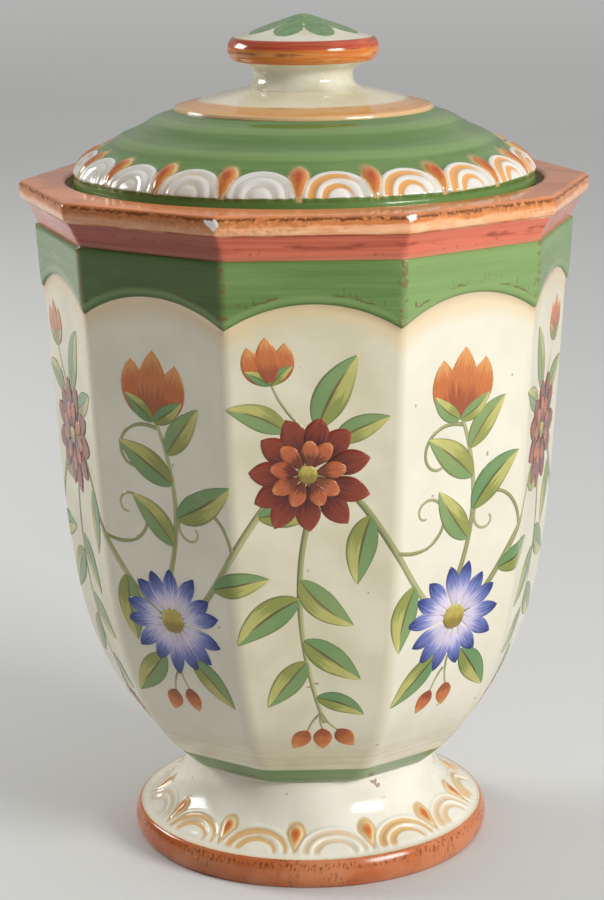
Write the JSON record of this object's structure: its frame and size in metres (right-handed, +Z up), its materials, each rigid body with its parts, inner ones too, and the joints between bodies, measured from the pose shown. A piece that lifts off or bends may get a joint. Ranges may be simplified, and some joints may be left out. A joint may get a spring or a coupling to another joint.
{
  "type": "lidded ceramic canister",
  "caption": "Ten-sided earthenware storage canister on a round pedestal foot, with a lift-off domed lid, a turned knob and a rubber sealing ring.",
  "frame": {"origin": "on the table under the middle of the foot", "axes": "+Z up, -Y out of the flat panel that faces the viewer in the picture, +X to the viewer's right"},
  "size_m": [0.1798, 0.1712, 0.267],
  "materials": {
    "jar_glaze": "glossy hand-painted glaze",
    "foot_glaze": "glossy hand-painted glaze",
    "lid_glaze": "glossy hand-painted glaze",
    "knob_glaze": "glossy hand-painted glaze",
    "seal_rubber": "milky satin silicone"
  },
  "bodies": {
    "jar": {"jar_body": "jar_glaze", "pedestal_foot": "foot_glaze"},
    "seal": {"lid_gasket": "seal_rubber"},
    "lid": {"lid_dome": "lid_glaze", "lid_knob": "knob_glaze"}
  },
  "joints": [
    {"name": "lid_lift", "type": "slide", "parent": "jar", "child": "seal", "axis": [0, 0, 1], "range_m": [0, 0.15]},
    {"name": "lid_turn", "type": "hinge", "parent": "seal", "child": "lid", "pos_m": [0, 0, 0.206], "axis": [0, 0, 1], "continuous": true}
  ]
}
